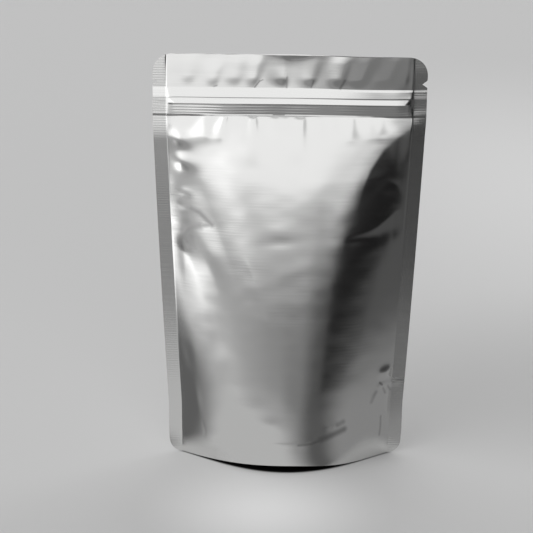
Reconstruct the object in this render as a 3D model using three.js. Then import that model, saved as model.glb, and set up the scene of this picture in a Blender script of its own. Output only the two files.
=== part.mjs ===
// A stand-up zipper pouch of plain foil laminate, puffed open and standing on its bottom gusset.
//
// The pouch is one welded piece: a front and a back panel, joined down both sides by flat heat seals,
// and a gusset folded up between them at the bottom, joined to each panel along a curved seal.
// A press-to-close zipper lies inside, below the open mouth, and shows through the film as ridges.
// The shut pouch can't be seen into, so the model is solid between its panels.
//
// Units are millimetres: x runs across the pouch, y from the front (-) to the back (+), z up from
// the floor. A point of the flat film is (u, v): u across from the middle, v up from the bottom edge.
import * as THREE from "three";
import { mergeVertices } from "three/addons/utils/BufferGeometryUtils.js";

// The flat pouch.
const WIDTH = 150;
const HEIGHT = 230;
const SIDE_SEAL = 7.5;
const GUSSET = 42; // height of the gusset's fold at the side seals
const TOP_RADIUS = 10;
const BOTTOM_RADIUS = 8;
const SEALED = 1.2; // thickness of the side seals
const LIP = 0.35; // thickness of a lip
const SKIRT = 0.6; // thickness of the skirt under the gusset
const HALF = WIDTH / 2;
const FREE = HALF - SIDE_SEAL; // where the film leaves the side seal
const MOUTH_END = FREE - 2;
const HOLLOW_END = FREE - 5.5; // where the hollow under the gusset ends

// The zipper, up from the bottom edge: a flat flange with a rib on it.
const ZIP_BOTTOM = 197.5;
const ZIP_TOP = 211.5;
const RIB_MIDDLE = 204.8;
const RIB_HALF = 2;
const EASE = 1.2; // width of the zipper's rounded shoulders
const FLANGE_PROUD = 0.5;
const RIB_PROUD = 1.2;

// The tear notches in the side seals.
const NOTCH_V = 215;
const NOTCH_DEPTH = 3;
const NOTCH_OPEN = 4; // height at the edge

// How the pouch stands.
const DEPTH = 30; // half its depth at the floor
const FULLNESS = 0.53; // power by which the depth falls off towards the zipper
const SHOULDER = 0.06; // share of the height over which the film comes down to the zipper
const ROUNDNESS = 0.65; // share of a plain arc in a level section, the rest swept like an ogee
const FRONT_LIFT = 4.2; // the bulging front lifts its hem this far off the floor
const LIFT_REACH = 0.72; // share of the half width over which the hem is off the floor
const LEAN = 4; // the top leans this far back
const GAPE = 2.2; // how far the front lip stands off at the top
const BACK_GAPE = 0.6;

// The curved bottom seal and the vault that the gusset makes over it.
const SEAL_MIDDLE = 11.5; // height of the seal in the middle
const RIDGE_RISE = 3.5; // the gusset's fold stands this far above the seal
const VAULT_SAG = 1.5;
const VAULT_STEPS = 4;

// Soft pockets that the film folds into beside the side seals, on either panel:
// u, v: middle; across, up: half sizes; turn: degrees from level; deep: depth.
const POCKETS = {
  front: [
    { u: 50, v: 158, across: 13, up: 17, turn: 32, deep: 4.2 },
    { u: 54, v: 126, across: 11, up: 9, turn: 24, deep: 3 },
    { u: -55, v: 172, across: 9, up: 8, turn: -30, deep: 2.6 },
    { u: -53, v: 128, across: 11, up: 10, turn: -28, deep: 3.2 },
    { u: 58, v: 50, across: 8, up: 6, turn: 40, deep: 1.8 },
  ],
  back: [
    { u: 52, v: 150, across: 12, up: 15, turn: 30, deep: 3.8 },
    { u: -53, v: 160, across: 12, up: 14, turn: -30, deep: 3.8 },
    { u: -54, v: 122, across: 10, up: 9, turn: -24, deep: 2.8 },
    { u: 55, v: 112, across: 10, up: 9, turn: 26, deep: 2.6 },
  ],
};

const clamp01 = (t) => Math.min(1, Math.max(0, t));
const smooth = (t) => clamp01(t) ** 2 * (3 - 2 * clamp01(t));

// A level section's depth at the share s of the free half width: an arc swept into the seals.
function section(s) {
  const t = Math.min(1, Math.abs(s));
  const arc = 1 - t * t;
  const ogee = Math.cos((Math.PI * t) / 2) ** 2;
  return ROUNDNESS * arc + (1 - ROUNDNESS) * ogee;
}

// Half the depth of the pouch in the middle, at a height on the film.
function depthAt(v) {
  const below = clamp01(1 - v / ZIP_BOTTOM);
  return DEPTH * below ** FULLNESS * (0.55 + 0.45 * smooth(below / SHOULDER));
}

function pocketDepth(u, v, pockets) {
  let depth = 0;
  for (const p of pockets) {
    const a = THREE.MathUtils.degToRad(p.turn);
    const along = (u - p.u) * Math.cos(a) + (v - p.v) * Math.sin(a);
    const over = (v - p.v) * Math.cos(a) - (u - p.u) * Math.sin(a);
    depth += p.deep * Math.exp(-((along / p.across) ** 2) - (over / p.up) ** 2);
  }
  return depth;
}

// How far the zipper stands proud under the film.
function zipperProud(u, v) {
  const across = smooth((FREE - Math.abs(u)) / 3);
  const flange = smooth((v - ZIP_BOTTOM) / EASE) * smooth((ZIP_TOP - v) / EASE);
  const rib = smooth((RIB_HALF - Math.abs(v - RIB_MIDDLE)) / EASE);
  return across * (FLANGE_PROUD * flange + RIB_PROUD * rib);
}

// The lips stand apart above the zipper, with slow waves.
function lipGape(u, v, side) {
  const rise = clamp01((v - ZIP_TOP) / (HEIGHT - ZIP_TOP)) ** 1.2;
  const across = clamp01(1 - Math.abs(u) / FREE) ** 0.8;
  const wave = 1 + 0.12 * Math.sin(u / 6.5) + 0.08 * Math.sin(u / 3.9 + 1);
  return (side === "front" ? GAPE : BACK_GAPE) * rise * across * wave;
}

// How far the outside of a panel stands from the plane of the side seals.
function stand(u, v, side) {
  const bulge = depthAt(v) * section(u / FREE);
  const dented = pocketDepth(u, v, POCKETS[side]) * smooth((FREE - Math.abs(u)) / 9);
  const body = Math.max(bulge - Math.min(dented, 0.7 * bulge), 0);
  return SEALED / 2 + body + zipperProud(u, v) + lipGape(u, v, side);
}

// The film doesn't stretch: each step across it keeps its length, so a bulge draws the sides in.
function acrossAt(u, v, side) {
  const steps = 40;
  const du = u / steps;
  let x = 0;
  for (let i = 0; i < steps; i++) {
    const rise = stand((i + 1) * du, v, side) - stand(i * du, v, side);
    x += Math.sqrt(Math.max(du ** 2 - rise ** 2, 0));
  }
  return Math.sign(u) * x;
}

// Half the width at a height. Both panels end in the same seals, so it is the mean of the four.
function halfWidthAt(v) {
  let sum = 0;
  for (const side of ["front", "back"])
    for (const u of [-HALF, HALF]) sum += Math.abs(acrossAt(u, v, side));
  return sum / 4;
}

// The front's hem is off the floor in the middle, and the film above it is raised less and less.
function hemLift(u, v, side) {
  if (side === "back") return 0;
  const reach = clamp01(1 - Math.abs(u) / (FREE * LIFT_REACH));
  return FRONT_LIFT * smooth(reach * 1.4) * clamp01(1 - v / ZIP_BOTTOM) ** 1.5;
}

// A point on the outside of the front or back panel, moved inwards by inset.
function filmPoint(side, u, v, inset = 0) {
  const out = side === "front" ? -1 : 1;
  const own = Math.abs(acrossAt(Math.sign(u || 1) * HALF, v, side));
  const x = (acrossAt(u, v, side) * halfWidthAt(v)) / own;
  const y = out * (stand(u, v, side) - inset) + LEAN * (v / HEIGHT) ** 2;
  return new THREE.Vector3(x, y, v + hemLift(u, v, side));
}

// Numbers from one end to the other, both included, in even steps of about the size given.
function spaced(from, to, step) {
  const n = Math.max(1, Math.round((to - from) / step));
  return Array.from({ length: n + 1 }, (_, i) => from + ((to - from) * i) / n);
}

// The grid of film points that the surfaces are made from.
const RIGHT = [...spaced(0, HOLLOW_END, 4.5), MOUTH_END, FREE, HALF - 4, HALF - 1.6, HALF];
const COLUMNS = [...RIGHT.slice(1).reverse().map((u) => -u), ...RIGHT];
const MOUTH_COLUMNS = COLUMNS.filter((u) => Math.abs(u) <= MOUTH_END);
const HOLLOW_COLUMNS = COLUMNS.filter((u) => Math.abs(u) <= HOLLOW_END);
const ZIP_ROWS = [
  ZIP_BOTTOM,
  ZIP_BOTTOM + EASE,
  RIB_MIDDLE - RIB_HALF,
  RIB_MIDDLE - RIB_HALF + EASE,
  RIB_MIDDLE + RIB_HALF - EASE,
  RIB_MIDDLE + RIB_HALF,
  ZIP_TOP - EASE,
];
const LIP_ROWS = [
  ZIP_TOP,
  NOTCH_V - NOTCH_OPEN / 2,
  NOTCH_V,
  NOTCH_V + NOTCH_OPEN / 2,
  ...spaced(NOTCH_V + NOTCH_OPEN / 2, HEIGHT, 4.4).slice(1),
];
const ROWS = [
  ...spaced(0, GUSSET / 2, 5.5).slice(0, -1),
  ...spaced(GUSSET / 2, 182, 7).slice(0, -1),
  ...spaced(182, ZIP_BOTTOM, 4).slice(0, -1),
  ...ZIP_ROWS,
  ...LIP_ROWS,
];

// The corners are rounded: near them a column's rows end on the arc.
function cornerDrop(u, radius) {
  const into = Math.abs(u) - (HALF - radius);
  return into > 0 ? radius - Math.sqrt(Math.max(radius ** 2 - into ** 2, 0)) : 0;
}

function rowAt(u, v) {
  const high = NOTCH_V + NOTCH_OPEN / 2;
  const low = GUSSET / 2;
  if (v > high) return v - (cornerDrop(u, TOP_RADIUS) * (v - high)) / (HEIGHT - high);
  if (v < low) return v + (cornerDrop(u, BOTTOM_RADIUS) * (low - v)) / low;
  return v;
}

// The outside of a panel at a point of the grid. The tear notches draw its edge in.
function outside(side, u, v) {
  const point = filmPoint(side, u, rowAt(u, v));
  const intoSeal = Math.max(Math.abs(u) - FREE, 0) / SIDE_SEAL;
  if (v === NOTCH_V) point.x -= Math.sign(u) * NOTCH_DEPTH * intoSeal;
  return point;
}

const sealHeight = (u) => SEAL_MIDDLE + (GUSSET - SEAL_MIDDLE) * (u / FREE) ** 2;

// The underside at a column: up inside the skirt, then over the vault to the gusset's fold.
function halfUnderside(side, u) {
  const skirt = [0, 0.5, 1].map((t) => filmPoint(side, u, t * sealHeight(u), SKIRT));
  const seal = skirt[2];
  const ridge = new THREE.Vector3(seal.x, 0, sealHeight(u) + RIDGE_RISE);
  const vault = [];
  for (let i = 1; i < VAULT_STEPS; i++) {
    const w = i / VAULT_STEPS;
    const point = seal.clone().lerp(ridge, w);
    point.z -= VAULT_SAG * 4 * w * (1 - w) * (1 - Math.abs(u) / FREE);
    vault.push(point);
  }
  return [...skirt, ...vault, ridge];
}

function underside(u) {
  const front = halfUnderside("front", u);
  const back = halfUnderside("back", u);
  return [...front, ...back.reverse().slice(1)];
}

// A surface collected from flat-sided pieces that meet at shared corners.
class Surface {
  points = [];
  index = [];

  // A convex patch, its corners anticlockwise seen from outside.
  patch(...outline) {
    const corners = outline.filter((corner, i) => !corner.equals(outline.at(i - 1)));
    const first = this.points.length;
    this.points.push(...corners);
    for (let i = 1; i + 1 < corners.length; i++) this.index.push(first, first + i, first + i + 1);
  }

  // Two rows of points with a band of quads between them, the first row below the second
  // seen from outside.
  band(lower, upper) {
    for (let i = 0; i + 1 < lower.length; i++)
      this.patch(lower[i], lower[i + 1], upper[i + 1], upper[i]);
  }

  bands(rows) {
    for (let i = 0; i + 1 < rows.length; i++) this.band(rows[i], rows[i + 1]);
  }

  geometry() {
    const geometry = new THREE.BufferGeometry().setFromPoints(this.points);
    const merged = mergeVertices(geometry.setIndex(this.index), 1e-4);
    merged.computeVertexNormals();
    return merged;
  }
}

// The flat rim between the outline of front and back, at the top edge (or below, at the hem), with
// an inner outline where it is open. At each end of the opening the rim closes to a solid edge.
function addRim(surface, front, back, innerFront, innerBack) {
  const gap = (COLUMNS.length - innerFront.length) / 2;
  const end = COLUMNS.length - 1 - gap;
  for (let i = 0; i < COLUMNS.length - 1; i++) {
    if (i >= gap && i < end) continue;
    if (i === gap - 1)
      surface.patch(front[i], front[i + 1], innerFront[0], innerBack[0], back[i + 1], back[i]);
    else if (i === end)
      surface.patch(front[i + 1], back[i + 1], back[i], innerBack.at(-1), innerFront.at(-1), front[i]);
    else surface.patch(front[i], front[i + 1], back[i + 1], back[i]);
  }
  surface.band(front.slice(gap, end + 1), innerFront);
  surface.band(innerBack, back.slice(gap, end + 1));
}

const turned = (row) => [...row].reverse();

function pouchGeometry() {
  const surface = new Surface();
  const front = ROWS.map((v) => COLUMNS.map((u) => outside("front", u, v)));
  const back = ROWS.map((v) => COLUMNS.map((u) => outside("back", u, v)));
  surface.bands(front);
  surface.bands(back.map(turned));
  surface.bands(front.map((row, i) => [row.at(-1), back[i].at(-1)]));
  surface.bands(front.map((row, i) => [back[i][0], row[0]]));

  // The mouth: a slot between the lips, down to the zipper.
  const lipInside = (side) =>
    LIP_ROWS.map((v) => MOUTH_COLUMNS.map((u) => filmPoint(side, u, rowAt(u, v), LIP)));
  const innerFront = lipInside("front");
  const innerBack = lipInside("back");
  surface.bands(innerFront.map(turned));
  surface.bands(innerBack);
  surface.band(innerFront[0], innerBack[0]);
  surface.bands(innerFront.map((row, i) => [row[0], innerBack[i][0]]));
  surface.bands(innerFront.map((row, i) => [innerBack[i].at(-1), row.at(-1)]));
  addRim(surface, front.at(-1), back.at(-1), innerFront.at(-1), innerBack.at(-1));

  // The hollow under the gusset, inside the skirt.
  const under = HOLLOW_COLUMNS.map(underside);
  const steps = under[0].length - 1;
  for (let i = 0; i + 1 < under.length; i++) surface.band(under[i], under[i + 1]);
  for (let k = 0; k < steps / 2; k++) {
    const opposite = steps - k;
    const left = [under[0][k], under[0][opposite], under[0][opposite - 1], under[0][k + 1]];
    const last = under.at(-1);
    surface.patch(...left);
    surface.patch(last[k], last[k + 1], last[opposite - 1], last[opposite]);
  }
  const hem = under.map((column) => column[0]);
  const backHem = under.map((column) => column[steps]);
  addRim(surface, turned(front[0]), turned(back[0]), turned(hem), turned(backHem));
  return surface.geometry();
}

const foil = new THREE.MeshStandardMaterial({
  color: new THREE.Color(0.74, 0.74, 0.73),
  roughness: 0.32,
  metalness: 1,
});

const pouch = new THREE.Mesh(pouchGeometry(), foil);
pouch.name = "pouch";

const part = new THREE.Group();
part.add(pouch);

export default part;
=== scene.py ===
# A stand-up pouch of plain foil laminate, standing on its bottom gusset on a pale studio table.
# It is built as the real one is: two flat panels of film and a folded gusset, filled and stood up.
# Metres: x runs across the pouch, y from its front (-) to its back (+), z up from the table.
from math import radians

import bpy
import numpy as np
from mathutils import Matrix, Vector


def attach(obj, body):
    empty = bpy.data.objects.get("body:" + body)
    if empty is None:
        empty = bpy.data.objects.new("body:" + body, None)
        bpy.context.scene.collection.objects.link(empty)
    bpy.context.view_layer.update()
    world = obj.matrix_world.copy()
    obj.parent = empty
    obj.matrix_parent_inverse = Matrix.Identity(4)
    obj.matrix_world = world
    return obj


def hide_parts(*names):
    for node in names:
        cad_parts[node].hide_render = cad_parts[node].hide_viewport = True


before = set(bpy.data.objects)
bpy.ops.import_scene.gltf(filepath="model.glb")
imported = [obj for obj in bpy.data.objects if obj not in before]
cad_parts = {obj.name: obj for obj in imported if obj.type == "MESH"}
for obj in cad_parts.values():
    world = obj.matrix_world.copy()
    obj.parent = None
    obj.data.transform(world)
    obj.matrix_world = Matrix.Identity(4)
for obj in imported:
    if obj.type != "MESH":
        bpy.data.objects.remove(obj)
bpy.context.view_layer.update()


# ---------------------------------------------------------------------------------------------
# Camera. A moderately long lens a metre in front of the pouch, a little left of its middle and
# looking down on it, rolled by half a degree.
CAMERA_AT = Vector((-0.0203, -0.9559, 0.4080))
CAMERA_AIM = Vector((-0.0118, 0.0, 0.1119))
CAMERA_ROLL = 0.603  # degrees
LENS = 120.8  # mm, for a picture 36 mm wide

bpy.ops.object.select_all(action="DESELECT")
bpy.ops.object.camera_add(location=CAMERA_AT)
camera = bpy.context.object
camera.name = "studio_camera"
camera.data.lens = LENS
camera.data.sensor_width = 36
camera.data.clip_end = 100
camera.rotation_euler = (CAMERA_AIM - CAMERA_AT).to_track_quat("-Z", "Y").to_euler()
camera.rotation_euler.rotate_axis("Z", radians(CAMERA_ROLL))
bpy.context.scene.camera = camera
bpy.context.scene.view_settings.view_transform = "Standard"


# ---------------------------------------------------------------------------------------------
# Studio light. A soft sky that holds the studio's lights as a foil pack mirrors them: a large
# soft box over the front left, tall strips at the left, and a dark side at the right.
BACKGROUND = 0.56
ROOM = 0.20  # what the pouch mirrors where no light is
# Each light: azimuth from and to (degrees from straight in front, + to the right) and the
# softness of these edges, elevation from and to and their softness, brightness, and how much
# lower it hangs towards the left, in degrees for a degree.
SOFT_LIGHTS = {
    "soft_box": (-100, 52, 5, 2.2, 68, 18, 0.30, 0.274),
    "left_box": (-100, -21, 14, -1.8, 32, 4.4, 0.585, 0),
    "upper_glow": (-90, 19.4, 8, 5.0, 64, 4, 0.367, 0),
    "lower_glow": (-90, 25.5, 12, -4.4, 64, 4, 0.147, 0),
    "corner_glow": (21.5, 36, 8, -0.9, 9, 8, 0.50, 0),
    "left_strip": (-84, -38, 3.4, -30, -15.5, 3.0, 1.42, 0),
    "left_strip_side": (-62, -35, 10, -19, -12.9, 2.5, 0.42, 0),
    "left_low_glow": (-66, 0, 14, -12, -8.9, 8, 0.20, 0),
    "key": (-80, -22, 16, 32, 62, 16, 0.9, 0),
    "rear_box": (118, 242, 14, 10, 62, 14, 0.85, 0),
    "rear_strip": (124, 139, 8, -45, 50, 16, 0.55, 0),
    "rear_side": (156, 200, 18, -45, 50, 16, 0.26, 0),
    "overhead": (-180, 180, 10, 68, 90, 10, 0.5, 0),
}
# The same for each dark side, with the share of the light that it takes away.
DARK_SIDES = {
    "right_dark": (29.1, 54, 5.6, -11.1, 45, 5.6, 0.90, 0),
    "right_low_dark": (17.4, 52, 13.5, -70, -0.3, 14, 0.62, 0),
    "far_right_dim": (50, 112, 9.5, -70, 45, 9.5, 0.56, 0),
    "left_dim": (-118, -72, 16, -70, 4, 16, 0.62, 0),
    "left_mid_dim": (-74, -52, 6, -15, -8, 4, 0.30, 0),
    "low_dim": (-118, 5, 16, -80, -34, 16, 0.45, 0),
    "right_low_dim": (29.8, 112, 8, -80, -22.9, 8, 0.90, 0),
}
TILT_END = -40.0  # a light that hangs lower towards the left stays level beyond this azimuth


class Field:
    """A number that changes over a surface or the sky: a shader socket to reckon with."""

    def __init__(self, tree, socket):
        self.tree = tree
        self.socket = socket

    def op(self, operation, other=0.0):
        return math_node(self.tree, operation, self, other)

    def __add__(self, other):
        return self.op("ADD", other)

    __radd__ = __add__

    def __sub__(self, other):
        return self.op("SUBTRACT", other)

    def __rsub__(self, other):
        return math_node(self.tree, "SUBTRACT", other, self)

    def __mul__(self, other):
        return self.op("MULTIPLY", other)

    __rmul__ = __mul__

    def __truediv__(self, other):
        return self.op("DIVIDE", other)

    def __pow__(self, other):
        return self.op("POWER", other)

    def __abs__(self):
        return self.op("ABSOLUTE")

    def at_least(self, low):
        return self.op("MAXIMUM", low)

    def at_most(self, high):
        return self.op("MINIMUM", high)

    def step(self, low, high):
        """A soft step from 0 at low to 1 at high, which falls where high is below low."""
        node = self.tree.nodes.new("ShaderNodeMapRange")
        node.interpolation_type = "SMOOTHSTEP"
        self.feed(node.inputs["Value"])
        node.inputs["From Min"].default_value = low
        node.inputs["From Max"].default_value = high
        return Field(self.tree, node.outputs["Result"])

    def band(self, low, high, soft):
        """1 between low and high and 0 outside them, with edges of a given softness."""
        rising = self.step(low - soft / 2, low + soft / 2)
        falling = self.step(high + soft / 2, high - soft / 2)
        return rising * falling

    def feed(self, socket):
        self.tree.links.new(self.socket, socket)


def math_node(tree, operation, first, second):
    node = tree.nodes.new("ShaderNodeMath")
    node.operation = operation
    for socket, value in zip(node.inputs, (first, second)):
        if isinstance(value, Field):
            value.feed(socket)
        else:
            socket.default_value = value
    return Field(tree, node.outputs[0])


def coordinates(tree, vector):
    split = tree.nodes.new("ShaderNodeSeparateXYZ")
    tree.links.new(vector, split.inputs[0])
    return [Field(tree, output) for output in split.outputs]


def mix_shaders(share, first, second):
    """The first shader, and the second where the share is 1."""
    node = share.tree.nodes.new("ShaderNodeMixShader")
    share.feed(node.inputs[0])
    share.tree.links.new(first, node.inputs[1])
    share.tree.links.new(second, node.inputs[2])
    return node.outputs[0]


def light_the_sky(world):
    world.use_nodes = True
    tree = world.node_tree
    tree.nodes.clear()
    x, y, z = coordinates(tree, tree.nodes.new("ShaderNodeTexCoord").outputs["Generated"])
    azimuth = x.op("ARCTAN2", y * -1).op("DEGREES")
    azimuth_behind = azimuth + azimuth.op("LESS_THAN", 0.0) * 360
    elevation = z.op("ARCSINE").op("DEGREES")
    leftward = azimuth.at_most(0.0).at_least(TILT_END)

    def patch(az_from, az_to, az_soft, el_from, el_to, el_soft, amount, tilt):
        around = azimuth_behind if az_to > 180 else azimuth
        height = elevation - leftward * tilt if tilt else elevation
        across = around.band(az_from, az_to, az_soft)
        return across * height.band(el_from, el_to, el_soft) * amount

    glow = ROOM
    for light in SOFT_LIGHTS.values():
        glow = glow + patch(*light)
    for shade in DARK_SIDES.values():
        glow = glow * (1 - patch(*shade))
    mirrored = tree.nodes.new("ShaderNodeBackground")
    glow.feed(mirrored.inputs["Color"])
    plain = tree.nodes.new("ShaderNodeBackground")
    plain.inputs["Color"].default_value = (BACKGROUND, BACKGROUND, BACKGROUND, 1)
    seen = Field(tree, tree.nodes.new("ShaderNodeLightPath").outputs["Is Camera Ray"])
    output = tree.nodes.new("ShaderNodeOutputWorld")
    tree.links.new(mix_shaders(seen, mirrored.outputs[0], plain.outputs[0]), output.inputs[0])


world = bpy.data.worlds.new("studio_light")
bpy.context.scene.world = world
light_the_sky(world)


# ---------------------------------------------------------------------------------------------
# Table. A wide, pale and matt table top, its colour with painted pools of light and shade, the
# lightest in front of the pouch, and a painted contact shadow under the pouch. In the foil's
# reflections it is a painted glow instead, a soft patch that ends not far from the pouch.
TABLE_RADIUS = 14.0
TABLE_TONE = 0.62
TABLE_ROUGHNESS = 0.8
TABLE_SHINE = 0.2
# Pools of light and shade on it: middle, size and how much lighter or darker.
TABLE_POOLS = [
    ((0.26, 0.62), (0.22, 0.42), 0.13),
    ((0.24, 0.12), (0.16, 0.14), -0.09),
    ((-0.012, -0.075), (0.046, 0.05), 0.30),
    ((0.10, -0.26), (0.60, 0.14), -0.06),
]
POOL_EDGE = 1.6  # a pool fades out at this many times its size
# The painted contact shadow under the pouch, black in the table's colour: half its width, half its
# depth, how round it is, and how far inside the pouch's hem it ends.
PAINTED_CONTACT_SHADOW = (0.0665, 0.033, 1.4, 0.003)
PAINTED_CONTACT_SHADOW_EDGE = (-0.0012, 0.0015)
# The painted reflection of the table: the tone of its glow, its reach and its darker sides.
NEAR_TABLE = 0.525  # what the pouch mirrors of the table close to it
TABLE_REACH = {"left": 0.322, "right": 0.248, "front": 0.191}  # how far it mirrors the table
FRONT_REACH_GAIN = 0.25  # how much further in front for each metre towards the left
TABLE_FADE = 0.43  # the mirrored table fades out over this share of its reach, both ways
# Sides of the table that it mirrors darker: the x that the directions start from, direction from
# and to, softness, share.
TABLE_SHADES = {
    "front_right": (0.015, 1.6, 43.9, 38, 0.805),
    "right": (0.015, 43.9, 110, 38, 0.495),
    "left": (-0.04, -125, -61, 38, 0.76),
}
# The patch right under the pouch isn't mirrored: its edge, and how much wider than deep it is.
HEM_EDGE = (0.026, 0.034)
HEM_SQUEEZE = 0.42


def length(x, y):
    return (x * x + y * y).op("SQRT")


# The table's colour, with painted pools of light and shade and a painted contact shadow under the
# pouch.
def table_tone(x, y):
    half_width, half_depth, roundness, inset = PAINTED_CONTACT_SHADOW
    beside = x / half_width
    edge = (1 - beside * beside).at_least(0.0) ** roundness * half_depth - inset
    tone = TABLE_TONE
    for middle, size, lighter in TABLE_POOLS:
        off = length((x - middle[0]) / size[0], (y - middle[1]) / size[1])
        tone = off.step(POOL_EDGE, 0.0) * lighter + tone
    # Painted contact shadow: the colour goes black under the pouch.
    return (abs(y) - edge).step(*PAINTED_CONTACT_SHADOW_EDGE) * tone


def painted_table_reflection(tree, x, y):
    """The table as the foil mirrors it, a painted reflection: a glow of set tone in a soft patch round
    the pouch, and nothing beyond it.
    """
    leftward = (x * -1).at_least(0.0)
    wide = (x / TABLE_REACH["right"]).at_least(leftward / TABLE_REACH["left"])
    deep = abs(y) / (leftward * FRONT_REACH_GAIN + TABLE_REACH["front"])
    reach = (wide ** 4 + deep ** 4) ** 0.25
    tone = NEAR_TABLE
    for start, turn_from, turn_to, soft, share in TABLE_SHADES.values():
        turn = (x - start).op("ARCTAN2", y * -1).op("DEGREES")
        tone = (1 - turn.band(turn_from, turn_to, soft) * share) * tone
    # The painted reflection glows with this tone, and is seen only in the foil's reflections.
    glow = tree.nodes.new("ShaderNodeEmission")
    tone.feed(glow.inputs["Color"])
    clear = tree.nodes.new("ShaderNodeBsdfTransparent")
    return mix_shaders(reach.step(1 - TABLE_FADE, 1 + TABLE_FADE), glow.outputs[0], clear.outputs[0])


def table_material():
    material = bpy.data.materials.new("pale_table")
    material.use_nodes = True
    tree = material.node_tree
    surface = tree.nodes["Principled BSDF"]
    surface.inputs["Roughness"].default_value = TABLE_ROUGHNESS
    surface.inputs["Specular IOR Level"].default_value = TABLE_SHINE
    x, y, _ = coordinates(tree, tree.nodes.new("ShaderNodeTexCoord").outputs["Object"])
    table_tone(x, y).feed(surface.inputs["Base Color"])
    mirror = Field(tree, tree.nodes.new("ShaderNodeLightPath").outputs["Is Glossy Ray"])
    mirror = mirror * length(x * HEM_SQUEEZE, y).step(*HEM_EDGE)
    shader = mix_shaders(mirror, surface.outputs[0], painted_table_reflection(tree, x, y))
    tree.links.new(shader, tree.nodes["Material Output"].inputs[0])
    return material


bpy.ops.mesh.primitive_circle_add(vertices=96, radius=TABLE_RADIUS, fill_type="NGON")
table = bpy.context.object
table.name = "table"
table.data.materials.append(table_material())


# ---------------------------------------------------------------------------------------------
# Front panel. One sheet of plain foil laminate, 150 by 230 mm, heat-sealed to the back panel along
# both sides and to the gusset along the bottom, with the zipper welded behind it under the mouth.

# A point of the flat sheet is (u, v): u across from its middle, v up from its bottom edge, in mm.
MM = 0.001
HALF = 75.0
HEIGHT = 230.0
SIDE_SEAL = 7.5
FREE = HALF - SIDE_SEAL  # the film between the middle and a side seal
GUSSET = 42.0  # from the bottom edge up to the gusset's fold
TOP_RADIUS = 10.0
BOTTOM_RADIUS = 8.0
ZIP_BOTTOM = 197.5
ZIP_TOP = 211.5
NOTCH_AT = 215.2  # the tear notches, just above the zipper
NOTCH_DEEP = 3.0
FILM_THICK = 0.14

# How the filled and standing pouch holds that point.
DEPTH = 30.0  # how far the middle of a filled panel bulges at its bottom edge
FULLNESS = 0.53
SHOULDER = 0.06  # the share of the height under the zipper in which the bulge begins
LAYER = 0.16  # a film and a hair of room, and the same again where the gusset lies behind it
LEAN = 4.0  # how far back the mouth leans
HEAD_FROM = 190.0  # the head leans further from here up
FRONT_LIFT = 4.1  # how far the middle of the hem stands off the table
LIFT_LEFT = 42.0  # how far that lift reaches from the middle, to the left and to the right
LIFT_RIGHT = 30.0
LEFT_SEAL_TURN = 0.07  # how far back a side seal turns, for each mm of its width
RIGHT_SEAL_TURN = 0.05
LEAST_RUN = 0.3  # a row of film runs on by at least this share of its length


def smooth(t):
    t = np.clip(t, 0, 1)
    return t * t * (3 - 2 * t)


def depth_at(v):
    """How far the middle of a panel bulges: nothing at the zipper, and full at the bottom edge."""
    below = np.clip(1 - v / ZIP_BOTTOM, 0, 1)
    return DEPTH * below ** FULLNESS * (0.55 + 0.45 * smooth(below / SHOULDER))


def section(u, v):
    """Share of the middle's depth: a little like an ogee at the bottom, an arc further up."""
    s = np.clip(np.abs(u) / FREE, 0, 1)
    roundness = 0.65 + 0.30 * smooth(v / 35)
    return roundness * (1 - s * s) + (1 - roundness) * np.cos(np.pi * s / 2) ** 2


def plain_stand(u, v):
    """How far the outside of a panel without dents stands off the plane of the side seals."""
    layers = LAYER + LAYER * smooth((GUSSET + 20 - v) / 20)
    return layers + depth_at(v) * section(u, v)


def lean_at(u, v):
    """How far back the film leans. The head leans more, most of all at the left, the side seals
    turn back, and the right one is pinched beside the zipper."""
    head = np.maximum(v - HEAD_FROM + 6 * smooth((-u - 35) / 25), 0)
    head = head ** 2 / (head + 6)
    head_slope = 0.14 - 0.16 * smooth((u + 2) / 50)
    right_turn = RIGHT_SEAL_TURN + 0.23 * smooth((v - 20) / 130) - 0.15 * smooth((v - 188) / 12)
    turned = np.maximum(np.abs(u) - FREE, 0) * np.where(u < 0, LEFT_SEAL_TURN, right_turn)
    corner = 0.04 * np.maximum(v - ZIP_TOP, 0) * smooth((-FREE - u) / 0.8)
    pinch = 1.1 * smooth((v - 189) / 14) * smooth((224 - v) / 16) * smooth((u - FREE + 12) / 14)
    return LEAN * (v / HEIGHT) ** 2 + head * head_slope + turned - corner + pinch


def row_lengths(stand, u):
    """x of every point of each row, for film that doesn't stretch across the pouch."""
    du = np.diff(u, axis=1)
    dx = np.sqrt(np.maximum(du ** 2 - np.diff(stand, axis=1) ** 2, (LEAST_RUN * du) ** 2))
    x = np.concatenate([np.zeros((len(u), 1)), np.cumsum(dx, axis=1)], axis=1)
    middle = u.shape[1] // 2
    return x - x[:, middle:middle + 1]


def hem_lift(u, v):
    """The front's bottom edge stands off the table, further to the left than to the right."""
    reach = np.where(u < 0, LIFT_LEFT, LIFT_RIGHT)
    ends = np.clip(1 - (np.abs(u) / FREE) ** 6, 0, 1)
    return FRONT_LIFT * np.exp(-(u / reach) ** 2) * ends * np.clip(1 - v / ZIP_BOTTOM, 0, 1) ** 1.5


def film_points(u, v, side, stand):
    """The outside of a panel in metres, at the front (-1) or the back (1), where it stands so far
    off the plane of the side seals."""
    x = row_lengths(plain_stand(u, v), u)
    y = side * stand + lean_at(u, v)
    z = v + (hem_lift(u, v) if side < 0 else 0)
    return np.stack([x, y, z], axis=-1) * MM


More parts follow.
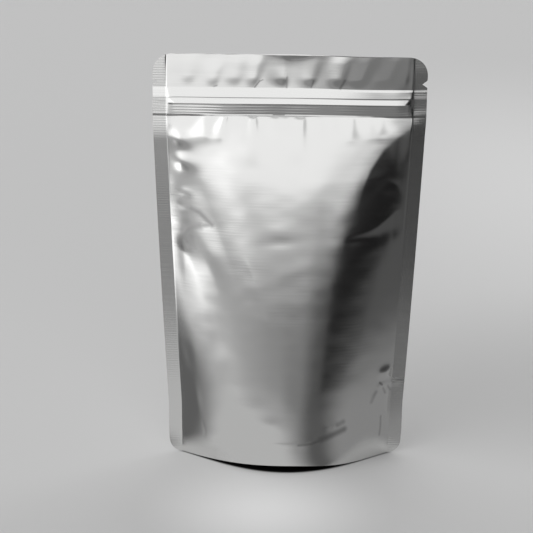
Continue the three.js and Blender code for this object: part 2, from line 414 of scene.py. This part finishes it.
def columns_of(count):
    """Columns across a panel, close together round the corners' arcs and at the seals' edges."""
    arc_steps = 12
    seal_edge = FREE + np.array([-0.7, 0.05, 0.6])
    inner = HALF - TOP_RADIUS
    straight = np.linspace(-inner, inner, count - 2 * (arc_steps + len(seal_edge)))
    arc = inner + TOP_RADIUS * np.sin(np.linspace(0, np.pi / 2, arc_steps + 1)[1:])
    outer = np.sort(np.concatenate([arc, seal_edge]))
    return np.concatenate([-outer[::-1], straight, outer])


def corner_drop(u, radius):
    into = np.clip(np.abs(u) - (HALF - radius), 0, radius)
    return radius - np.sqrt(radius ** 2 - into ** 2)


def round_corners(u, v):
    high, low = ZIP_TOP + 6, GUSSET / 2
    v = v - corner_drop(u, TOP_RADIUS) * np.clip((v - high) / (HEIGHT - high), 0, 1)
    return v + corner_drop(u, BOTTOM_RADIUS) * np.clip((low - v) / low, 0, 1)


def tear_notches(u, v):
    """Narrows the side seals at the two tear notches: open at the right, a nick at the left."""
    half_open = np.where(u > 0, 2.0, 0.9)
    into = NOTCH_DEEP * np.clip(1 - np.abs(v - NOTCH_AT) / half_open, 0, 1)
    beyond = np.maximum(np.abs(u) - FREE, 0)
    return np.sign(u) * (np.minimum(np.abs(u), FREE) + beyond * (1 - into / SIDE_SEAL))


# The shapes that film takes: creases, swellings, folds, buckles and shelves, each as a height.
def along(u, v, path):
    """Distance from a path of (u, v) points, positive at its left, and how far along it."""
    path = np.array(path, dtype=float)
    legs = np.hypot(*np.diff(path, axis=0).T)
    best = np.full(u.shape, np.inf)
    signed = np.zeros(u.shape)
    part = np.zeros(u.shape)
    for k, leg in enumerate(legs):
        du, dv = (path[k + 1] - path[k]) / leg
        forward = (u - path[k, 0]) * du + (v - path[k, 1]) * dv
        left = (v - path[k, 1]) * du - (u - path[k, 0]) * dv
        held = np.clip(forward, 0, leg)
        away = np.hypot(left, forward - held)
        nearer = away < best
        best = np.where(nearer, away, best)
        signed = np.where(nearer, np.where(left < 0, -away, away), signed)
        part = np.where(nearer, (legs[:k].sum() + held) / legs.sum(), part)
    return signed, part


def crease(u, v, path, height, left, right, ends=0.3, sharp=1.0):
    """A fold along a path, standing out by height and fading over left and right beside it."""
    signed, part = along(u, v, path)
    width = np.where(signed > 0, left, right)
    fade = smooth(part / ends) * smooth((1 - part) / ends)
    return height * fade * np.exp(-(np.abs(signed) / width) ** sharp)


def swell(u, v, at, size, turn, height, edge=2.0):
    """A soft swelling (or a dent, for a negative height) with turned axes."""
    cos, sin = np.cos(np.radians(turn)), np.sin(np.radians(turn))
    across = ((u - at[0]) * cos + (v - at[1]) * sin) / size[0]
    up = ((v - at[1]) * cos - (u - at[0]) * sin) / size[1]
    return height * np.exp(-(across ** 2 + up ** 2) ** (edge / 2))


def fold(u, v, foot, top, width, spread, height, gentle=2.0, start=0.22):
    """A soft vertical fold, narrow at its foot, with a gentle left side and a steep right one."""
    t = (v - foot[1]) / (top[1] - foot[1])
    middle = foot[0] + (top[0] - foot[0]) * t
    wide = width + (spread - width) * np.clip(t, 0, 1.3)
    wide = np.where(u < middle, wide * gentle, wide)
    fade = smooth(t / start + 0.35) * smooth((1.45 - t) / 0.7)
    return height * fade * np.exp(-((u - middle) / wide) ** 2)


def buckle(u, v, edge, below, above, ends=0.15):
    """Film buckled over an edge that runs to the right: it falls away from the edge by a slope,
    and comes back. Below and above are the slope, and its reach at both ends of the edge."""
    signed, part = along(u, v, edge)
    away = np.abs(signed)
    fall = 0
    for (slope, first, last), here in ((below, signed < 0), (above, signed >= 0)):
        reach = first + (last - first) * part ** 2
        fall = fall + np.where(here, slope * away * np.exp(-(away / reach) ** 2), 0)
    return -fall * smooth(part / ends) * smooth((1 - part) / ends)


def shelf(u, v, edge, slope, reach, ends):
    """The film above an edge leans back by a slope over a reach, and recovers only slowly."""
    signed, part = along(u, v, edge)
    away = np.maximum(signed, 0)
    fall = slope * reach * (1 - np.exp(-away / reach)) * np.exp(-(away / (3 * reach)) ** 2)
    return -fall * smooth(part / ends[0]) * smooth((1 - part) / ends[1])


def off_seals(u, soft):
    """1 on the film that is free to move, and 0 on the side seals."""
    return smooth((FREE - np.abs(u)) / soft)


# The head, above the zipper. Its folds: foot, top, width at each, height, and how gentle at left.
HEAD_FOLDS = [
    ((-56, 214.0), (-54, 230), 3.0, 6.0, 0.16, 1.0),
    ((-42.2, 212.0), (-40.5, 224), 1.6, 3.4, 0.22, 1.6),
    ((-30.5, 213.0), (-28.5, 228), 2.4, 4.4, 0.18, 1.6),
    ((-20.5, 212.0), (-17.0, 228), 1.3, 3.6, 0.36, 1.8),
    ((-3.4, 212.5), (-5.0, 230), 1.6, 3.8, 0.58, 2.4),
    ((10.2, 212.0), (13.5, 229), 1.8, 4.6, 0.52, 1.9),
    ((26.2, 212.3), (30.4, 230), 2.0, 4.4, 0.66, 2.0),
    ((36.2, 212.0), (42.5, 230), 3.0, 5.2, 0.50, 2.4),
    ((51.5, 213.0), (58, 230), 3.0, 4.4, 0.34, 2.0),
    ((62.0, 213.0), (63.5, 230), 1.8, 3.0, 0.26, 2.6),
]
HEAD_FOLD_START = 0.5


def head_folds(u, v):
    folds = sum(fold(u, v, *shape, start=HEAD_FOLD_START) for shape in HEAD_FOLDS)
    return folds * smooth((v - ZIP_TOP + 0.4) / 7)


def mouth_at(v):
    return np.clip((v - ZIP_TOP) / (HEIGHT - ZIP_TOP), 0, 1)


def gape(u, v, wide):
    """The two lips stand apart at the mouth, most of all in the middle."""
    return wide * mouth_at(v) ** 1.2 * np.clip(1 - np.abs(u) / FREE, 0, 1) ** 0.8


def head_relief(u, v):
    from_left = smooth((u + 50) / 50)
    low = (1 - from_left) * smooth((v - 187) / 6) + from_left * smooth((v - 60) / 60)
    seal_step = 0.14 * smooth((FREE + 0.3 - np.abs(u)) / 1.2) * low
    curled_lip = 0.9 * mouth_at(v) ** 8 * np.exp(-((u - 2) / 13) ** 2)
    return seal_step + gape(u, v, 0.35) + curled_lip + head_folds(u, v) * off_seals(u, 3)


# The zipper, which shows through: the height of its flange and of its upper ridge, at heights v.
FLANGE_V = [196.9, 197.6, 203.3, 206.6, 207.1, 211.0, 212.0]
FLANGE_OUT = [0.00, 0.44, 0.66, 0.84, 0.88, 0.38, 0.02]
RIDGE_V = [203.2, 203.8, 206.3, 206.7, 207.1]
RIDGE_OUT = [0.00, 0.72, 0.10, -0.10, 0.00]
RIB_PITCH = 1.45  # of the fine ribs on the lower half of its band
RIB_OUT = 0.05


def zipper_relief(u, v):
    """The press-to-close zipper shows through: a flange, a ridge, and a finely ribbed band."""
    side = FREE - np.abs(u)
    wobble = 0.16 * np.sin(u / 7.0) + 0.10 * np.sin(u / 2.9 + 1)
    ribs = RIB_OUT * np.sin((v + 0.5 * wobble) * 2 * np.pi / RIB_PITCH)
    ribs = ribs * smooth((v - 197.6) / 0.6) * smooth((203.2 - v) / 0.6)
    ribs = ribs * (0.35 + 0.25 * smooth((-u - 25) / 20)) * (0.8 + 0.4 * np.sin(u / 4.1))
    slack = 0.30 * smooth((u + 42) / 24) * smooth((30 - u) / 26) - 0.16 * smooth((-36 - u) / 16)
    slack = slack * np.interp(v, [197.0, 197.6, 203.3, 204.6], [1, 1, 0, 0])
    slack = slack * smooth((v - 196.9) / 0.7)
    flange = (0.62 + 0.38 * smooth(side / 2.5)) * np.interp(v, FLANGE_V, FLANGE_OUT)
    ridge = smooth((side - 0.6) / 4.5) * np.interp(v, RIDGE_V, RIDGE_OUT)
    return flange + ridge + (ribs - slack) * smooth((side - 1) / 5)


# Ripples that run down from the zipper: foot, lower end, width at each, height.
NECK_FOLDS = [
    ((-57, 198.0), (-58, 192), 2.0, 3.0, 0.12),
    ((-45, 198.0), (-47, 186), 1.4, 3.4, 0.32),
    ((-34, 199.5), (-38, 187), 1.0, 2.6, 0.44),
    ((-26, 197.0), (-27, 184), 1.8, 4.0, 0.16),
    ((-19.5, 197.5), (-19, 178), 1.6, 4.0, 0.48),
    ((-8, 197.5), (-7, 186), 1.3, 3.4, 0.24),
    ((-2, 197.0), (-3, 182), 2.0, 4.6, 0.20),
    ((7, 197.5), (5, 178), 1.8, 4.4, 0.44),
    ((17, 197.5), (16, 188), 1.4, 3.2, 0.20),
    ((23, 197.0), (24, 189), 1.6, 3.6, 0.20),
    ((34, 197.5), (33, 186), 1.8, 4.0, 0.34),
    ((44, 198.5), (43, 190), 1.4, 3.2, 0.22),
    ((50, 197.5), (49, 187), 2.0, 4.0, 0.22),
]


def neck_relief(u, v):
    ripples = sum(fold(u, v, *shape) for shape in NECK_FOLDS)
    return ripples * smooth((ZIP_BOTTOM + 0.3 - v) / 2) * off_seals(u, 8)


def left_dents(u, v):
    """The lower left bulges out beside the seal, under dents where the film was pushed in."""
    bulge = crease(u, v, [(-70, 115), (-36, 128.5)], 1.15, 30, 21, 0.4, 2.0)
    held_in = smooth((v - 119) / 12) * (1 - smooth((FREE + u) / 16))
    edge = [(-60, 131), (-55, 135), (-49, 136.8), (-40, 138.5)]
    return sum([
        bulge * (1 - held_in),
        swell(u, v, (-63, 185.0), (8.0, 4.2), -20, 0.62),
        swell(u, v, (-61, 172.6), (7.5, 4.4), -16, 0.60),
        swell(u, v, (-59.5, 155.4), (4.2, 2.2), -6, 0.17),
        swell(u, v, (-60.5, 147.6), (3.6, 1.8), -6, 0.10),
        swell(u, v, (-52, 151), (7, 9), 25, 0.10),
        buckle(u, v, edge, (-0.02, 4, 5), (0, 3, 3), 0.3),
    ])


# The edge of the right-hand hollow, from the zipper down, and its two buckles.
RIGHT_HOLLOW = [(70, 193), (61, 186), (52, 179), (45, 168), (41, 157), (37, 142)]
RIGHT_ARC = [(42, 154), (49, 160), (55, 162), (61, 159.4), (66, 152), (69, 144)]
RIGHT_EDGE = [(30, 132), (45, 134.6), (50, 136.4), (56, 140.6), (61.5, 144.5), (70, 147)]


def right_dents(u, v):
    return sum([
        shelf(u, v, RIGHT_HOLLOW, 0.05, 10, (0.2, 0.35)),
        buckle(u, v, RIGHT_ARC, (-0.045, 6, 6), (-0.040, 5, 5), 0.35),
        buckle(u, v, RIGHT_EDGE, (0.085, 4, 20), (0, 9, 9)),
        shelf(u, v, RIGHT_EDGE, 0.014, 14, (0.01, 0.15)) * smooth((u - 36) / 18),
    ])


def middle_marks(u, v):
    return sum([
        swell(u, v, (-4, 129.5), (10, 2.8), 6, -0.13),
        swell(u, v, (-7, 136), (9, 3.5), -4, 0.08),
        swell(u, v, (8, 116), (12, 4), 20, 0.06),
        swell(u, v, (-30, 160), (10, 14), 20, 0.20),
        swell(u, v, (14, 158), (9, 15), -10, 0.22),
        crease(u, v, [(-25, 123), (-18.5, 109), (-14, 90), (-9.5, 76)], 0.07, 0.9, 2.5, 0.2),
    ])


def foot_marks(u, v):
    """Marks of the gusset behind the front: its curved seal, and its fold at both side seals."""
    return sum([
        crease(u, v, [(-12, 12.6), (0, 12.2), (10, 13.2)], 0.14, 0.8, 0.8),
        crease(u, v, [(5, 11.5), (15, 13.6), (24, 17.0), (35, 21.5)], 0.40, 2.2, 5, 0.3),
        crease(u, v, [(18, 21), (26, 22.5), (34, 26.5)], 0.4, 2.2, 1.6, 0.3),
        swell(u, v, (61.5, 51), (4.0, 2.8), 0, 0.95),
        crease(u, v, [(54, 41.5), (59, 44.4), (66, 43.2), (74, 44.4)], 0.42, 1.2, 1.6, 0.22),
        crease(u, v, [(50, 36), (54, 38), (59, 41.5)], 0.3, 1.6, 2.0),
        crease(u, v, [(60, 38.5), (65, 43)], -0.2, 0.8, 0.8),
        crease(u, v, [(60.3, 24.5), (60.6, 18), (60.4, 12)], -0.22, 0.8, 0.8),
        swell(u, v, (51.5, 20.5), (1.6, 1.6), 0, -0.2),
        swell(u, v, (41.5, 16.5), (2.0, 0.8), 0, 0.12),
        crease(u, v, [(67, 14), (66.5, 9), (67.2, 4)], -0.2, 0.8, 0.8),
        crease(u, v, [(-67.2, 22), (-67, 12), (-66.6, 4)], -0.35, 0.8, 1.0, 0.15),
        swell(u, v, (-60, 60), (3, 7), 8, -0.25),
        swell(u, v, (-55, 36), (3, 9), 10, 0.25),
        crease(u, v, [(-52, 24), (-50, 17), (-51, 11)], -0.12, 0.8, 0.8),
        swell(u, v, (-38, 16), (7, 3), -12, 0.25),
        swell(u, v, (-24, 18), (6, 4), 0, -0.15),
        swell(u, v, (-30, 47), (8, 5), 20, 0.22),
        swell(u, v, (-22, 34), (7, 5), 0, 0.24),
        swell(u, v, (-11, 24), (7, 4), -10, 0.22),
        swell(u, v, (-37, 60), (5, 6), 0, -0.18),
    ])


def front_relief(u, v):
    upper = zipper_relief(u, v) + head_relief(u, v) + neck_relief(u, v)
    dents = off_seals(u, 8) * (left_dents(u, v) + right_dents(u, v))
    return upper + dents + middle_marks(u, v) + foot_marks(u, v)


def shape_film(name, u, v, points):
    """A flat grid of film, with every point moved to where the pouch holds it. Its UV map 'film'
    keeps the flat (u, v), in metres, so that the marks on the film follow it."""
    rows, columns = u.shape
    bpy.ops.object.select_all(action="DESELECT")
    bpy.ops.mesh.primitive_grid_add(x_subdivisions=columns - 1, y_subdivisions=rows - 1, size=1,
                                    calc_uvs=True)
    sheet = bpy.context.object
    sheet.name = sheet.data.name = name
    flat = np.zeros(len(sheet.data.vertices) * 3)
    sheet.data.vertices.foreach_get("co", flat)
    flat_x, flat_y, _ = flat.reshape(-1, 3).T + 0.5
    i = np.rint(flat_x * (columns - 1)).astype(int)
    j = np.rint(flat_y * (rows - 1)).astype(int)
    sheet.data.vertices.foreach_set("co", points[j, i].ravel())
    corners = np.zeros(len(sheet.data.loops), dtype=int)
    sheet.data.loops.foreach_get("vertex_index", corners)
    film_map = sheet.data.uv_layers[0]
    film_map.name = "film"
    film_uv = np.stack([u[j, i], v[j, i]], axis=-1)[corners] * MM
    film_map.data.foreach_set("uv", film_uv.ravel())
    sheet.data.update()
    return sheet


def make_panel(name, columns, rows, side, relief):
    u, v = np.meshgrid(columns, rows)
    v = round_corners(u, v)
    u = tear_notches(u, v)
    panel = shape_film(name, u, v, film_points(u, v, side, plain_stand(u, v) + relief(u, v)))
    if side > 0:
        panel.data.flip_normals()
    return panel


# The laminate: satin aluminium under a thin clear film, with fine marks from its rollers. The
# seals are embossed with ribs and a weave, given as a turn in radians for each millimetre.
FILM_ROUGHNESS = 0.14
SEAL_ROUGHER = 0.09
SEAL_EDGE = (67.2, 67.9)
SEAL_PRESSED = 0.10
RIB_TURN = 4.6
WEAVE_TURN = 3.3
CLEAN_FOIL = (0.800, 0.800, 0.792, 1)
# The dark colour of the painted shade in creases and under the zipper.
PAINTED_SHADE_COLOUR = (0.10, 0.10, 0.10, 1)
CRUSHED_ROUGHER = 0.25
# Painted shadow lines under the zipper's flange and ridge, which also make the foil there rougher: how
# dark they are.
ZIPPER_PAINTED_SHADOW = 0.35  # how crushed the foil is along the lines that the zipper prints
# Sharp creases, where the foil's colour is painted dark as shade in the crease and the crushed foil is
# duller: path, width in mm, and how dark.
PAINTED_CREASE_SHADES = [
    ([(-63, 146.0), (-55, 146.2)], 3.6, 0.26),
    ([(-55, 146.2), (-50, 144.3), (-43, 138)], 3.6, 0.50),
    ([(-43, 138), (-50, 136.8)], 2.8, 0.40),
    ([(-50, 136.8), (-56, 135), (-59.5, 131), (-58, 127)], 5.0, 0.46),
    ([(-58, 127), (-52.5, 124)], 4.4, 0.30),
    ([(-41.5, 212.8), (-39.8, 213.4)], 0.9, 0.35),
    ([(-19.2, 212.6), (-16.5, 216.0)], 1.0, 0.50),
    ([(-17, 215.5), (-14.8, 216.6)], 0.8, 0.40),
    ([(-1.8, 212.8), (-1.6, 218.0)], 1.6, 0.35),
    ([(11.6, 212.8), (13.0, 216.5)], 1.0, 0.45),
    ([(27.4, 212.6), (29.8, 217.0)], 1.6, 0.45),
    ([(7, 12.6), (14, 13.8), (22, 16.6)], 2.0, 0.46),
    ([(20, 16.2), (34, 21.6)], 4.4, 0.52),
    ([(30, 24.6), (33, 26.2)], 3.6, 0.34),
    ([(58.2, 53.0), (63.6, 53.6)], 3.2, 0.50),
    ([(57.6, 45.6), (59.6, 44.0)], 1.6, 0.55),
    ([(68.4, 45.4), (74.5, 44.6)], 1.2, 0.50),
    ([(60.6, 41.6), (62.6, 38.4)], 1.8, 0.26),
    ([(64.6, 42.0), (67.0, 39.0)], 1.8, 0.26),
    ([(55, 40.5), (52, 35.5)], 3.0, 0.24),
    ([(60.3, 24.5), (60.7, 18), (60.4, 13)], 1.8, 0.30),
]


def new_group(name, vectors, values, results):
    """A node group with its inputs and outputs, for a pattern that is used more than once."""
    group = bpy.data.node_groups.new(name, "ShaderNodeTree")
    for socket in vectors:
        group.interface.new_socket(socket, in_out="INPUT", socket_type="NodeSocketVector")
    for socket in values:
        group.interface.new_socket(socket, in_out="INPUT", socket_type="NodeSocketFloat")
    for socket in results:
        group.interface.new_socket(socket, in_out="OUTPUT", socket_type="NodeSocketFloat")
    given = group.nodes.new("NodeGroupInput").outputs
    result = group.nodes.new("NodeGroupOutput").inputs
    return group, given, result


def film_marks():
    """The film's fine marks: their height in mm, how rough it is, and the painted shadow lines under
    the zipper.
    """
    group, given, result = new_group("film_marks", ["Film"], [], ["Height", "Roughness", "Zipper_Shadow"])
    across, up, _ = coordinates(group, given["Film"])
    u = across / MM
    v = up / MM

    def streaks(scale_u, scale_v, detail, seed):
        """Noise from -0.5 to 0.5, with so many waves to the millimetre each way."""
        place = group.nodes.new("ShaderNodeCombineXYZ")
        (u * scale_u).feed(place.inputs[0])
        (v * scale_v).feed(place.inputs[1])
        place.inputs[2].default_value = seed
        noise = group.nodes.new("ShaderNodeTexNoise")
        noise.inputs["Scale"].default_value = 1.0
        noise.inputs["Detail"].default_value = detail
        group.links.new(place.outputs[0], noise.inputs["Vector"])
        return Field(group, noise.outputs["Fac"]) - 0.5

    sealed = abs(u).step(*SEAL_EDGE)
    rolling = streaks(0.05, 1.1, 2.0, 3.0) * 0.0075
    waves = streaks(0.05, 0.06, 1.0, 8.0) * 0.18 * (1 - sealed)
    seal_ribs = (v * RIB_TURN).op("SINE") * 0.009
    seal_weave = ((u + v) * WEAVE_TURN).op("SINE") * ((u - v) * WEAVE_TURN).op("SINE") * 0.012
    embossed = (seal_ribs + seal_weave) * sealed * (streaks(0.12, 0.05, 2.0, 11.0) + 0.55)
    beside_zipper = v.band(196.5, 212.0, 1.0) * sealed
    crumpled = streaks(0.09, 0.6, 1.0, 21.0) * 0.05 * beside_zipper
    height = rolling + embossed + crumpled + waves - sealed * SEAL_PRESSED
    height.feed(result["Height"])

    # Painted shadow lines under the zipper's flange and under its ridge, unevenly dark and not on the
    # seals.
    lines = v.band(197.0, 197.6, 0.5) + v.band(203.2, 203.7, 0.5)
    uneven = streaks(0.15, 0.02, 2.0, 31.0) + 0.75
    edge = lines * uneven * abs(u).step(66.5, 65.0)
    edge.feed(result["Zipper_Shadow"])

    patches = streaks(0.02, 0.35, 2.0, 5.0) * 0.05
    roughness = patches + FILM_ROUGHNESS + sealed * SEAL_ROUGHER
    roughness.feed(result["Roughness"])
    return group


def painted_crease_shade():
    """Painted shade near a straight crease, which also makes the crushed foil rougher: most along it,
    and none at three quarters of its width away from it."""
    group, given, result = new_group("painted_crease_shade", ["Film", "From", "To"], ["Width", "Dark"], ["Mark"])

    def vector(operation, first, second=None):
        node = group.nodes.new("ShaderNodeVectorMath")
        node.operation = operation
        group.links.new(first, node.inputs[0])
        if second is not None:
            group.links.new(second, node.inputs[1])
        return node

    here = vector("SUBTRACT", given["Film"], given["From"]).outputs[0]
    leg = vector("SUBTRACT", given["To"], given["From"]).outputs[0]
    forward = Field(group, vector("DOT_PRODUCT", here, leg).outputs["Value"])
    square = Field(group, vector("DOT_PRODUCT", leg, leg).outputs["Value"])
    nearest = vector("SCALE", leg)
    (forward / square).at_least(0.0).at_most(1.0).feed(nearest.inputs["Scale"])
    away = vector("SUBTRACT", here, nearest.outputs[0]).outputs[0]
    distance = Field(group, vector("LENGTH", away).outputs["Value"])
    near = (distance / Field(group, given["Width"])).step(0.75, 0.0)
    (near * Field(group, given["Dark"])).feed(result["Mark"])
    return group


FILM_MARKS = film_marks()
CREASE_SHADE_GROUP = painted_crease_shade()


def foil_material(name, creases):
    material = bpy.data.materials.new(name)
    material.use_nodes = True
    tree = material.node_tree
    surface = tree.nodes["Principled BSDF"]
    surface.inputs["Metallic"].default_value = 1.0
    film_map = tree.nodes.new("ShaderNodeUVMap")
    film_map.uv_map = "film"
    marks = tree.nodes.new("ShaderNodeGroup")
    marks.node_tree = FILM_MARKS
    tree.links.new(film_map.outputs[0], marks.inputs["Film"])
    bump = tree.nodes.new("ShaderNodeBump")
    bump.inputs["Strength"].default_value = 1.0
    bump.inputs["Distance"].default_value = MM
    tree.links.new(marks.outputs["Height"], bump.inputs["Height"])
    tree.links.new(bump.outputs["Normal"], surface.inputs["Normal"])

    # Painted shade along the zipper's lines and the sharp creases, which also makes the foil rougher
    # there.
    crushed_and_shaded = Field(tree, marks.outputs["Zipper_Shadow"]) * ZIPPER_PAINTED_SHADOW
    for path, width, dark in creases:
        for start, end in zip(path[:-1], path[1:]):
            leg = tree.nodes.new("ShaderNodeGroup")
            leg.node_tree = CREASE_SHADE_GROUP
            tree.links.new(film_map.outputs[0], leg.inputs["Film"])
            leg.inputs["From"].default_value = (start[0] * MM, start[1] * MM, 0)
            leg.inputs["To"].default_value = (end[0] * MM, end[1] * MM, 0)
            leg.inputs["Width"].default_value = width * MM
            leg.inputs["Dark"].default_value = dark
            crushed_and_shaded = crushed_and_shaded.at_least(Field(tree, leg.outputs["Mark"]))
    colour = tree.nodes.new("ShaderNodeMix")
    colour.data_type = "RGBA"
    colour.inputs["A"].default_value = CLEAN_FOIL
    colour.inputs["B"].default_value = PAINTED_SHADE_COLOUR
    crushed_and_shaded.feed(colour.inputs["Factor"])
    tree.links.new(colour.outputs["Result"], surface.inputs["Base Color"])
    roughness = Field(tree, marks.outputs["Roughness"]) + crushed_and_shaded * CRUSHED_ROUGHER
    roughness.feed(surface.inputs["Roughness"])
    return material


SMOOTH_UNDER = 40  # degrees


def finish_film(sheet, material, thickness):
    """Gives the sheet its thickness inwards and its material, and fixes it to the pouch."""
    solid = sheet.modifiers.new("film thickness", "SOLIDIFY")
    solid.thickness = thickness * MM
    solid.offset = -1
    bpy.context.view_layer.objects.active = sheet
    bpy.ops.object.modifier_apply(modifier=solid.name)
    bpy.ops.object.select_all(action="DESELECT")
    sheet.select_set(True)
    bpy.ops.object.shade_smooth_by_angle(angle=radians(SMOOTH_UNDER))
    sheet.data.materials.append(material)
    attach(sheet, "root")
    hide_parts("pouch")


# Columns across this panel, and rows up both panels, closest together at the zipper.
FRONT_COLUMNS = 203
PANEL_ROWS = np.concatenate([
    np.linspace(0, 184, 150, endpoint=False),
    np.linspace(184, 196.4, 14, endpoint=False),
    np.linspace(196.4, 212.6, 50, endpoint=False),
    np.linspace(212.6, HEIGHT, 29),
])
front_panel = make_panel("front_panel", columns_of(FRONT_COLUMNS), PANEL_ROWS, -1, front_relief)
finish_film(front_panel, foil_material("foil_front", PAINTED_CREASE_SHADES), FILM_THICK)


# ---------------------------------------------------------------------------------------------
# Back panel. The same sheet of laminate behind, sealed to the front one along both sides, with
# the front's ripples under its zipper and dents of its own beside the seals.
BACK_COLUMNS = 161


def back_relief(u, v):
    upper = 0.8 * zipper_relief(u, v) + gape(u, v, 0.5) + neck_relief(-u, v)
    seal_step = 0.3 * off_seals(u, 1.2) * smooth((v - 60) / 60)
    dents = sum([
        0.7 * head_folds(-u - 4, v),
        swell(u, v, (57, 168), (8, 5), 24, -1.4, 2.4),
        swell(u, v, (59, 150), (7, 4.5), 20, 1.2, 2.4),
        swell(u, v, (58, 134), (8, 5), 16, -1.0, 2.4),
        swell(u, v, (-58, 172), (8, 5), -24, -1.3, 2.4),
        swell(u, v, (-59, 155), (7, 4.5), -20, 1.1, 2.4),
        swell(u, v, (-57, 137), (9, 5), -16, -0.9, 2.4),
        crease(u, v, [(70, 112), (62, 116), (52, 122), (38, 126)], 1.0, 18, 26, 0.4, 2.0),
        crease(u, v, [(22, 118), (15, 98), (12, 80)], 0.25, 2.0, 5.0),
        crease(u, v, [(-30, 176), (-40, 150), (-46, 128)], -0.4, 3.0, 7.0),
        crease(u, v, [(-34, 22), (-22, 17), (-8, 13.5)], 0.5, 4.0, 1.8),
        swell(u, v, (-61, 51), (4.0, 2.8), 0, 0.9),
        swell(u, v, (61, 50), (4.0, 2.8), 0, 0.8),
    ])
    return upper + seal_step + off_seals(u, 5) * dents


plain_foil = foil_material("foil_laminate", [])
back_panel = make_panel("back_panel", columns_of(BACK_COLUMNS), PANEL_ROWS[::2], 1, back_relief)
finish_film(back_panel, plain_foil, FILM_THICK)


# ---------------------------------------------------------------------------------------------
# Gusset. A third piece of film, folded in half and sealed inside the bottom of both panels. It
# opens into a vault under the pouch, with its fold line across the middle.
SEAL_MIDDLE = 11.5  # height of its curved seal in the middle of a panel
SKIRT = 0.22  # the share of its half that is sealed to a panel, below that seal
RIDGE_RISE = 3.5
VAULT_SAG = 1.5
BEHIND_PANEL = 0.155  # how far its outside lies inside the panel's
FOLD_GAP = 0.012
FLAT_LENGTH = 90.0  # its length on the map of the film, over both halves
GUSSET_COLUMNS = 141


def seal_height(u):
    s = np.clip(np.abs(u) / FREE, 0, 1)
    return SEAL_MIDDLE + (GUSSET - SEAL_MIDDLE) * s ** 2


def gusset_half(u, part, side):
    """Part runs from 0 at the bottom edge of a panel to 1 at the gusset's fold line."""
    v = round_corners(u, seal_height(u) * np.clip(part / SKIRT, 0, 1))
    stand = np.maximum(plain_stand(u, v) - BEHIND_PANEL, 0.15)
    x, y, z = np.moveaxis(film_points(u, v, side, stand), -1, 0) / MM
    over = np.clip((part - SKIRT) / (1 - SKIRT), 0, 1)
    middle = lean_at(u, seal_height(u))
    ridge = seal_height(u) + RIDGE_RISE
    wide = np.clip(np.abs(y - middle) / DEPTH, 0, 1)
    pleats = 0.5 * np.sin(u / 3.1 + side) * np.sin(u / 7.3 + 1) * smooth(over / 0.1)
    pleats = pleats * np.exp(-over / 0.35) * wide
    dimple = 1.2 * np.exp(-((u / 6) ** 2 + ((1 - over) * 28 / 6) ** 2))
    z = z + (ridge - z) * over - (VAULT_SAG * np.sin(np.pi * over) * wide + pleats + dimple)
    y = y + (middle + side * FOLD_GAP - y) * over
    return np.stack([x, y, z], axis=-1) * MM


def gusset_points(u, w):
    """w runs 0 to 1 from the front's bottom edge over the fold to the back's bottom edge."""
    front = gusset_half(u, np.clip(w / 0.5, 0, 1), -1)
    back = gusset_half(u, np.clip((1 - w) / 0.5, 0, 1), 1)
    return np.where((w < 0.5)[..., None], front, back)


# Rows over its front half, closest together on the skirt, and the same in turn over its back.
front_rows = np.concatenate([np.linspace(0, 0.11, 8, endpoint=False), np.linspace(0.11, 0.5, 26)])
gusset_rows = np.concatenate([front_rows, 1 - front_rows[-2::-1]])
u, w = np.meshgrid(columns_of(GUSSET_COLUMNS), gusset_rows)
gusset = shape_film("gusset", u, FLAT_LENGTH * w, gusset_points(u, w))
finish_film(gusset, plain_foil, FILM_THICK)


# ---------------------------------------------------------------------------------------------
# Zipper. The pressed-together strips of pale plastic between the two panels, below the mouth. Its
# ends are crushed flat in the side seals, where they are part of the panels, so it stops short.
ZIPPER_END = FREE - 2.5
ZIPPER_COLUMNS = 61
ZIPPER_THICK = 0.3
ZIPPER_COLOUR = (0.72, 0.72, 0.71, 1)
ZIPPER_ROUGHNESS = 0.45

plastic = bpy.data.materials.new("zipper_plastic")
plastic.use_nodes = True
surface = plastic.node_tree.nodes["Principled BSDF"]
surface.inputs["Base Color"].default_value = ZIPPER_COLOUR
surface.inputs["Roughness"].default_value = ZIPPER_ROUGHNESS

zipper_rows = [198.0, 199.5, 202.0, 204.0, 206.0, 208.5, 211.0]
u, v = np.meshgrid(np.linspace(-ZIPPER_END, ZIPPER_END, ZIPPER_COLUMNS), zipper_rows)
strip = np.stack([row_lengths(plain_stand(u, v), u), lean_at(u, v), v], axis=-1) * MM
zipper = shape_film("zipper", u, v, strip)
finish_film(zipper, plastic, ZIPPER_THICK)
